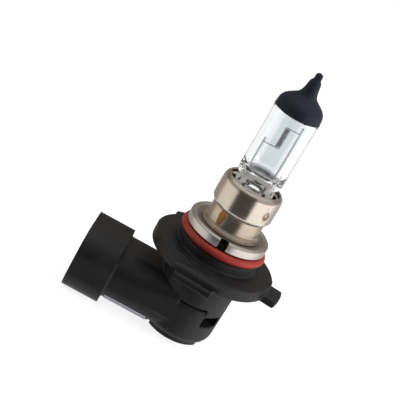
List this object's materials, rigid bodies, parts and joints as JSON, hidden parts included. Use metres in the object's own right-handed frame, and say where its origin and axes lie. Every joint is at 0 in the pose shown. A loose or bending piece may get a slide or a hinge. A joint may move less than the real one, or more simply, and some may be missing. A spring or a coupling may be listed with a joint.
{
  "type": "headlight bulb",
  "caption": "Right-angle halogen headlight bulb: black-topped glass capsule in a nickel holder, red sealing ring, black plastic base with locking lugs and a side socket for a two-pole plug.",
  "frame": {"origin": "on the lamp axis, in the plane of the plastic flange's top face, which seats against the headlamp", "axes": "+Z along the lamp axis towards the glass tip, -X along the connector towards its mouth, +Y completes the right-handed frame (the pictured side faces -Y)"},
  "size_m": [0.0503, 0.0356, 0.078],
  "materials": {
    "clear_glass": "clear quartz, fire-polished",
    "black_coating": "satin baked blue-black coating",
    "tungsten": "drawn tungsten wire",
    "molybdenum": "drawn molybdenum",
    "nickel_wire": "bright nickel wire",
    "nickel_plate": "warm nickel-plated sheet, satin",
    "ring_plate": "nickel-plated drawn ring, satin",
    "silicone": "red silicone, matt sheen",
    "moulding": "black glass-filled thermoplastic, fine matt",
    "tinned_brass": "tin-plated brass strip",
    "label": "blank pale film"
  },
  "bodies": {
    "root": {"glass_capsule": "clear_glass", "top_coating": "black_coating", "filament_coil": "tungsten", "support_post_right": "molybdenum", "support_post_left": "molybdenum", "foil_right": "molybdenum", "foil_left": "molybdenum", "outer_lead_right": "nickel_wire", "outer_lead_left": "nickel_wire", "pinch_clip": "nickel_plate", "clip_plate": "nickel_plate", "capsule_collar": "nickel_plate", "focus_sleeve": "nickel_plate", "base_ring": "ring_plate", "sealing_ring": "silicone", "base_housing": "moulding", "rear_cover": "moulding", "terminal_right": "tinned_brass", "terminal_left": "tinned_brass", "label_strip": "label"}
  },
  "joints": []
}
